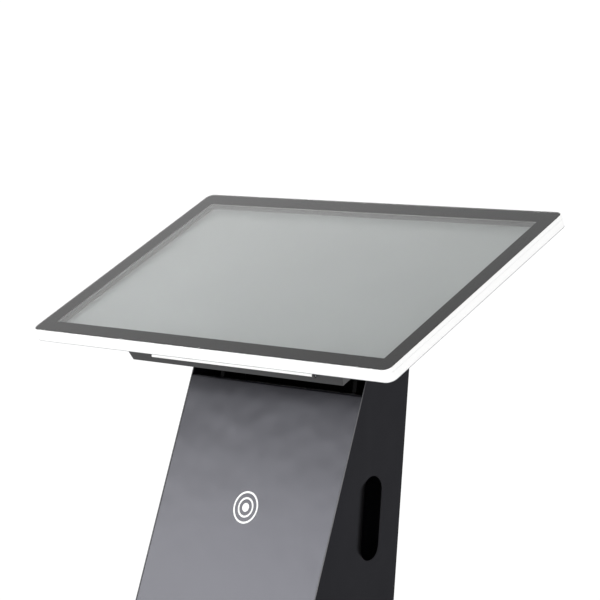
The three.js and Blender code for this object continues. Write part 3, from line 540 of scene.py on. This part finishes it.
def add_edge_shade_line(materials):
    """Painted shade: a thin grey tube round the back edge of the white shell, drawn as the dark line where
    the shell's edge turns under.
    """
    low, high = display_extent("rear_shell")
    inset = 0.8 * MM
    depth = 20.9 * MM
    half_width = (high.x - low.x) / 2 - inset
    half_height = (high.y - low.y) / 2 - inset
    corner = SHELL_CORNER - inset
    rings = []
    for sign_x, sign_y, angle in corner_steps():
        x = sign_x * (half_width - corner) + corner * math.cos(angle)
        u = sign_y * (half_height - corner) + corner * math.sin(angle)
        ring = []
        for k in range(SHADE_LINE_SIDES):
            turn = 2 * math.pi * k / SHADE_LINE_SIDES
            out = SHADE_LINE_RADIUS * math.cos(turn)
            ring.append(on_display(
                x + out * math.cos(angle),
                u + out * math.sin(angle),
                -depth + SHADE_LINE_RADIUS * math.sin(turn),
            ))
        rings.append(ring)
    rings.append(rings[0])

    def make(built):
        bridge_rings(built, rings)
        bmesh.ops.remove_doubles(built, verts=built.verts, dist=1e-7)

    # painted shade: a grey tube where the shell's back edge turns under into shade
    new_piece("shell_edge_shade_line", make, materials["grey_plastic"], BODY_OF["rear_shell"])


# ---------------------------------------------------------------- fasteners and print

TURNS = 24
COVER_SCREW = 3.6 * MM
SHELL_SCREW = 3.4 * MM
HINGE_SCREW = 2.9 * MM


def turned(built, centre, direction, rings, start_capped=True, end_capped=True):
    """Rings of (radius, height, sides) about an axis; sides 0 is round and 6 is a hexagon."""
    axis = Vector(direction).normalized()
    across = axis.orthogonal().normalized()
    along = axis.cross(across)
    made = []
    for radius, height, sides in rings:
        ring = []
        for i in range(TURNS):
            angle = 2 * math.pi * i / TURNS
            reach = radius
            if sides:
                sector = math.pi / sides
                reach = radius * math.cos(sector) / math.cos((angle + sector) % (2 * sector) - sector)
            offset = across * math.cos(angle) + along * math.sin(angle)
            ring.append(built.verts.new(Vector(centre) + offset * reach + axis * height))
        made.append(ring)
    for low, high in zip(made, made[1:]):
        for i in range(TURNS):
            j = (i + 1) % TURNS
            built.faces.new((low[i], low[j], high[j], high[i]))
    if start_capped:
        built.faces.new(made[0])
    if end_capped:
        built.faces.new(made[-1])
    return made


def button_head(radius):
    """Domed screw head with a hexagon socket."""
    rings = [(radius, -0.05 * MM, 0), (radius, 0.18 * radius, 0)]
    for i in range(1, 6):
        angle = math.radians(12 * i)
        rings.append((radius * (0.5 + 0.5 * math.cos(angle)), radius * (0.18 + 0.42 * math.sin(angle)), 0))
    rings.append((0.56 * radius, 0.56 * radius, 0))
    rings.append((0.50 * radius, 0.54 * radius, 6))
    rings.append((0.48 * radius, 0.16 * radius, 6))
    return rings


def add_screws(name, spots, direction, radius, material, body):
    def make(built):
        for spot in spots:
            turned(built, spot, direction, button_head(radius))

    new_piece(name, make, material, body)


def add_back_panel_screws(materials):
    back = Vector((0.0, 1.0, 0.0))
    from_side, from_end = 9 * MM, 12 * MM
    for level in ("upper", "lower"):
        node = f"back_panel_{level}"
        low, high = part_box(node)
        spots = [
            (sign * (high.x - from_side), high.y, z)
            for sign in (-1, 1)
            for z in (low.z + from_end, high.z - from_end)
        ]
        add_screws(
            f"{level}_back_screws", spots, back, COVER_SCREW, materials["black_steel"], BODY_OF[node],
        )


def add_hinge_screws(materials):
    back = Vector((0.0, 1.0, 0.0))
    leaf_thickness = 1.5 * MM
    from_side, from_end = 5.5 * MM, 11 * MM
    for level in ("lower", "upper"):
        for kind, sign in (("post", -1), ("door", 1)):
            node = f"hinge_{kind}_leaf_{level}"
            low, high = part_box(node)
            x = low.x + from_side if sign < 0 else high.x - from_side
            heights = (low.z + from_end, (low.z + high.z) / 2, high.z - from_end)
            spots = [(x, low.y + leaf_thickness, z) for z in heights]
            add_screws(
                f"{node}_screws", spots, back, HINGE_SCREW, materials["zinc_steel"], BODY_OF[node],
            )


def add_display_screws(materials):
    low, high = display_extent("electronics_cover")
    floor_half = 212 * MM
    spots = [
        on_display(x, u, low.z)
        for x in (-floor_half, 0.0, floor_half)
        for u in (low.y + 20 * MM, high.y - 12 * MM)
    ]
    add_screws(
        "cover_screws", spots, -SCREEN_N, COVER_SCREW, materials["black_steel"],
        BODY_OF["electronics_cover"],
    )

    low, high = display_extent("rear_shell")
    from_side, from_end, inner = 22 * MM, 16 * MM, 200 * MM
    spots = [
        on_display(x, u, low.z)
        for x in (low.x + from_side, -inner, inner, high.x - from_side)
        for u in (low.y + from_end, high.y - from_end)
    ]
    spots += [on_display(x, 0.0, low.z) for x in (low.x + from_side, high.x - from_side)]
    add_screws(
        "shell_screws", spots, -SCREEN_N, SHELL_SCREW, materials["zinc_steel"], BODY_OF["rear_shell"],
    )


def add_fasteners(materials):
    add_back_panel_screws(materials)
    add_hinge_screws(materials)
    add_display_screws(materials)


def add_lock_nuts(materials):
    """Nuts that lock the levelling feet against the base plate, and the threads they turn on."""
    nut_height = 6 * MM
    nut_face = 8.6 * MM
    nut_corner = 9.8 * MM
    chamfer = 0.7 * MM
    base_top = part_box("base_plate")[1].z
    pitch = 1.5 * MM
    for corner in ("front_left", "front_right", "back_left", "back_right"):
        stud = f"foot_stud_{corner}"
        low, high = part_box(stud)
        middle = (low + high) / 2
        radius = (high.x - low.x) / 2
        bore = radius + 0.15 * MM
        bottom = base_top + 0.05 * MM
        top = bottom + nut_height

        def make_nut(built):
            made = turned(
                built, (middle.x, middle.y, 0.0), (0, 0, 1),
                [
                    (bore, bottom, 0), (nut_face, bottom, 0), (nut_corner, bottom + chamfer, 6),
                    (nut_corner, top - chamfer, 6), (nut_face, top, 0), (bore, top, 0),
                ],
                start_capped=False, end_capped=False,
            )
            for i in range(TURNS):
                j = (i + 1) % TURNS
                built.faces.new((made[-1][i], made[-1][j], made[0][j], made[0][i]))

        new_piece(
            f"foot_nut_{corner}", make_nut, materials["zinc_steel"], BODY_OF["base_plate"]
        )

        def make_thread(built):
            count = int((high.z - low.z - 2 * MM) / pitch)
            rings = [(radius - 0.9 * MM, low.z, 0)]
            for i in range(count):
                z = low.z + 0.8 * MM + i * pitch
                rings.append((radius - 0.55 * MM, z, 0))
                rings.append((radius, z + 0.5 * pitch, 0))
            rings.append((radius - 0.55 * MM, high.z - 0.6 * MM, 0))
            rings.append((radius - 1.1 * MM, high.z, 0))
            turned(built, (middle.x, middle.y, 0.0), (0, 0, 1), rings)

        thread = new_piece(
            f"foot_thread_{corner}", make_thread, materials["zinc_steel"], BODY_OF[stud]
        )
        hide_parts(stud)


def add_shaft_nuts(materials):
    """Hexagon nuts on both ends of the tilt shaft, outside the pivot ears."""
    low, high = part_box("tilt_shaft")
    bush_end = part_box("pivot_bush_right")[1].x
    middle = (low + high) / 2
    washer_radius, washer_thickness = 13.0 * MM, 1.6 * MM
    nut_face, nut_corner, nut_height = 10.5 * MM, 12.2 * MM, 8.8 * MM
    chamfer = 1.0 * MM
    shaft_radius = 8.05 * MM

    def make(built):
        for sign in (-1, 1):
            inner = bush_end + 1.0 * MM
            nut_start = inner + washer_thickness
            nut_end = nut_start + nut_height
            rings = [
                (washer_radius, inner, 0), (washer_radius, nut_start, 0), (nut_face, nut_start, 0),
                (nut_corner, nut_start + chamfer, 6), (nut_corner, nut_end - chamfer, 6),
                (nut_face, nut_end, 0), (shaft_radius, nut_end, 0),
            ]
            turned(built, (0.0, middle.y, middle.z), (sign, 0, 0), rings)

    new_piece("tilt_shaft_nuts", make, materials["zinc_steel"], BODY_OF["tilt_shaft"])


MARK_CENTRE_X = 2.0 * MM
MARK_CENTRE_Z = 564.0 * MM
MARK_RINGS = ((0.0, 7.0), (13.0, 16.0), (22.5, 25.5))


def add_touch_mark(materials):
    """Printed sign for touching a screen: a dot in two rings, without letters."""
    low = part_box("front_panel")[0]
    up = Vector((0.0, math.sin(FRONT_LEAN), math.cos(FRONT_LEAN)))
    outward = Vector((0.0, -math.cos(FRONT_LEAN), math.sin(FRONT_LEAN)))
    face_y = low.y + (MARK_CENTRE_Z - low.z) * math.tan(FRONT_LEAN)
    centre = Vector((MARK_CENTRE_X, face_y, MARK_CENTRE_Z)) - outward * 0.02 * MM
    print_height = 0.1 * MM
    segments = 72

    def circle(radius, height):
        angles = [2 * math.pi * i / segments for i in range(segments)]
        return [
            centre + SCREEN_X * radius * math.cos(a) + up * radius * math.sin(a) + outward * height
            for a in angles
        ]

    def make(built):
        for inner, outer in MARK_RINGS:
            rings = [circle(outer * MM, 0.0), circle(outer * MM, print_height)]
            if inner:
                rings += [circle(inner * MM, print_height), circle(inner * MM, 0.0)]
                bridge_rings(built, rings)
            else:
                made = bridge_rings(built, rings)
                built.faces.new(made[-1])

    new_piece("touch_mark", make, materials["white_ink"], BODY_OF["front_panel"])


# ---------------------------------------------------------------- pedestal pieces

SHEET = 2.0 * MM
FRONT_LEAN = math.radians(14.4)
BEND_RADIUS = 4.0 * MM
GRIP_ROLL_RADIUS = 32.0 * MM
GRIP_ROLL_START = 9.5 * MM
GRIP_ROLL_ANGLE = math.radians(48.0)
# painted shade: the roll angle at which the paint is fully darkened
PAINTED_SHADE_ANGLE = math.radians(28.0)
ROLL_STEPS = 12
SLOT_STEPS = 16
FULL_PAINTED_SHADE = 2.5  # how soon the painted shade on a shallow roll turns fully black


def smooth_step(value, low, high):
    t = min(1.0, max(0.0, (value - low) / (high - low)))
    return t * t * (3.0 - 2.0 * t)


def side_outline(node):
    """Corners of a side panel and its grip slot, as (y, z)."""
    points = {(round(v.co.y, 6), round(v.co.z, 6)) for v in NODES[node].data.vertices}
    points = [Vector(point) for point in sorted(points)]
    corners = [points[i] for i in convex_hull_2d(points)]
    slot = [point for point in points if min((point - corner).length for corner in corners) > 1 * MM]
    low = Vector((min(p.x for p in slot), min(p.y for p in slot)))
    high = Vector((max(p.x for p in slot), max(p.y for p in slot)))
    return corners, low, high


def slot_ring(low, high, segments=20):
    """Points round the grip slot from the rear of its top, over it and down the front, as (y, z)."""
    radius = (high.x - low.x) / 2
    middle = (low.x + high.x) / 2
    ring = []
    length = high.y - low.y - 2 * radius
    straight = [high.y - radius - length * i / SLOT_STEPS for i in range(1, SLOT_STEPS)]
    for i in range(segments + 1):
        angle = math.pi * i / segments
        ring.append((middle + radius * math.cos(angle), high.y - radius + radius * math.sin(angle)))
    ring += [(low.x, z) for z in straight]
    for i in range(segments + 1):
        angle = math.pi + math.pi * i / segments
        ring.append((middle + radius * math.cos(angle), low.y + radius + radius * math.sin(angle)))
    ring += [(high.x, z) for z in reversed(straight)]
    return ring


def add_side_panel(materials, side, label):
    """Side sheet whose grip slot has its front edge curled inwards, to be kind to the fingers; the curl
    carries painted shade.
    """
    node = f"side_panel_{label}"
    corners, slot_low, slot_high = side_outline(node)
    box_low, box_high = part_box(node)
    face = box_high.x if side > 0 else box_low.x
    ring = slot_ring(slot_low, slot_high)
    radius = (slot_high.x - slot_low.x) / 2
    middle_z = (slot_low.y + slot_high.y) / 2
    reach = slot_high.y - radius - middle_z

    def roll_at(y, z):
        front = smooth_step(slot_low.x + radius - y, 0.0, radius)
        ends = 1.0 - smooth_step(abs(z - middle_z), reach, reach + radius)
        return front * ends

    def make(built):
        painted_shade_layer = built.verts.layers.float.new("painted_grip_shade")
        rings = []
        for step in range(ROLL_STEPS + 1):
            angle = GRIP_ROLL_ANGLE * step / ROLL_STEPS
            made = []
            for y, z in ring:
                amount = roll_at(y, z)
                forward = (GRIP_ROLL_START - GRIP_ROLL_RADIUS * math.sin(angle)) * amount
                depth = GRIP_ROLL_RADIUS * (1.0 - math.cos(angle)) * amount
                vertex = built.verts.new((face - side * depth, y - forward, z))
                # painted shade: the inward roll is darkened towards matt black in the paint
                shade_strength = math.sin(math.pi / 2 * min(1.0, angle / PAINTED_SHADE_ANGLE))
                vertex[painted_shade_layer] = shade_strength * min(1.0, FULL_PAINTED_SHADE * amount)
                made.append(vertex)
            rings.append(made)
        count = len(ring)
        for outer, inner in zip(rings, rings[1:]):
            for i in range(count):
                j = (i + 1) % count
                built.faces.new((outer[i], outer[j], inner[j], inner[i]))
        frame_ring = [built.verts.new((face, corner.x, corner.y)) for corner in corners]
        edges = [built.edges.get((rings[0][i], rings[0][(i + 1) % count])) for i in range(count)]
        edges += [
            built.edges.new((frame_ring[i], frame_ring[(i + 1) % len(frame_ring)]))
            for i in range(len(frame_ring))
        ]
        bmesh.ops.triangle_fill(built, edges=edges, use_beauty=True, use_dissolve=False)
        bmesh.ops.remove_doubles(built, verts=built.verts, dist=1e-6)

    panel = new_piece(f"side_sheet_{label}", make, materials["shaded_side_paint"], BODY_OF[node])
    if panel.data.polygons[-1].normal.x * side < 0:
        panel.data.flip_normals()
    thick = panel.modifiers.new("thickness", "SOLIDIFY")
    thick.thickness = SHEET
    thick.offset = -1.0
    # painted highlight on the sheet's cut edges
    panel.data.materials.append(materials["edge_highlight_paint"])
    thick.material_offset_rim = 1
    round_edges(panel, 0.7 * MM)
    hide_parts(node)


def bend(centre, radius, start, end, steps=8):
    """Points on an arc in (y, z)."""
    angles = [start + (end - start) * i / steps for i in range(steps + 1)]
    return [(centre[0] + radius * math.cos(a), centre[1] + radius * math.sin(a)) for a in angles]


def add_front_panel(materials):
    """Leaning sheet, folded back along its top edge with a real bend radius."""
    low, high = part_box("front_panel")
    along = Vector((math.sin(FRONT_LEAN), math.cos(FRONT_LEAN)))
    outward = Vector((-along.y, along.x))
    bottom = Vector((low.y, low.z))
    corner = bottom + along * (high.z - low.z) / along.y
    turn = math.pi / 2 - FRONT_LEAN
    centre = corner + Vector((BEND_RADIUS * math.tan(turn / 2), 0.0)) + Vector((0.0, -BEND_RADIUS))
    start = math.atan2(outward.y, outward.x)
    outer = bend(centre, BEND_RADIUS, start, math.pi / 2)
    inner = bend(centre, BEND_RADIUS - SHEET, math.pi / 2, start)
    inside = bottom - outward * SHEET
    inside += along * (bottom.y - inside.y) / along.y
    profile = [tuple(bottom), *outer, (high.y, high.z), (high.y, high.z - SHEET), *inner, tuple(inside)]

    def make(built):
        bridge_rings(built, [[(x, y, z) for y, z in profile] for x in (low.x, high.x)])
        for x in (low.x, high.x):
            end = [v for v in built.verts if abs(v.co.x - x) < 1e-6]
            built.faces.new(end)

    panel = new_piece(
        "front_sheet", make, materials["graphite_paint"], BODY_OF["front_panel"], 0.3 * MM
    )
    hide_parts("front_panel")


def add_back_seals(materials):
    """Soft strips that close the slits round the upper back panel, beside the posts and above the door."""
    low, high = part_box("back_panel_upper")
    post_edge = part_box("rear_post_right")[0].x
    door_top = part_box("service_door")[1].z
    touch = 0.05 * MM
    clear = 0.4 * MM
    front, back = high.y - SHEET, high.y - 0.4 * MM
    strips = [
        (high.x + touch, post_edge - touch, low.z, high.z),
        (-post_edge + touch, -high.x - touch, low.z, high.z),
        (low.x, high.x, door_top + clear, low.z - touch),
    ]

    def make(built):
        for left, right, bottom, top in strips:
            profile = [(left, front), (right, front), (right, back), (left, back)]
            for ring in bridge_rings(built, [[(x, y, z) for x, y in profile] for z in (bottom, top)]):
                built.faces.new(ring)

    new_piece(
        "upper_back_seals", make, materials["rubber"], BODY_OF["back_panel_upper"], 0.3 * MM
    )


# ---------------------------------------------------------------- stage

def add_floor():
    built = bmesh.new()
    bmesh.ops.create_circle(built, cap_ends=True, segments=96, radius=FLOOR_RADIUS)
    mesh = bpy.data.meshes.new("floor")
    built.to_mesh(mesh)
    built.free()
    mesh.materials.append(
        coated("pale_floor", (0.93, 0.93, 0.93), 0.7, 0.004, 0.00001, variation=0.006)
    )
    floor = bpy.data.objects.new("floor", mesh)
    bpy.context.collection.objects.link(floor)


add_camera()
add_world()
add_floor()
add_soft_box("left_soft_box", (-1.34, -2.07, 0.98), PEDESTAL_MIDDLE, 2.4, 1.1, 14.5, diffuse=False)
add_soft_box("right_soft_box", (2.3, -1.2, 1.2), UPPER_MIDDLE, 1.4, 1.4, 2.0)
add_soft_box("front_fill", (-0.6, -2.5, 0.4), DISPLAY_FRONT, 1.6, 1.6, 4.0)
materials = make_materials()
dress_nodes(materials)
add_ink_border(materials)
add_front_panel(materials)
for side, label in ((-1, "left"), (1, "right")):
    add_side_panel(materials, side, label)
add_back_seals(materials)
add_edge_shade_line(materials)
add_fasteners(materials)
add_lock_nuts(materials)
add_shaft_nuts(materials)
add_touch_mark(materials)
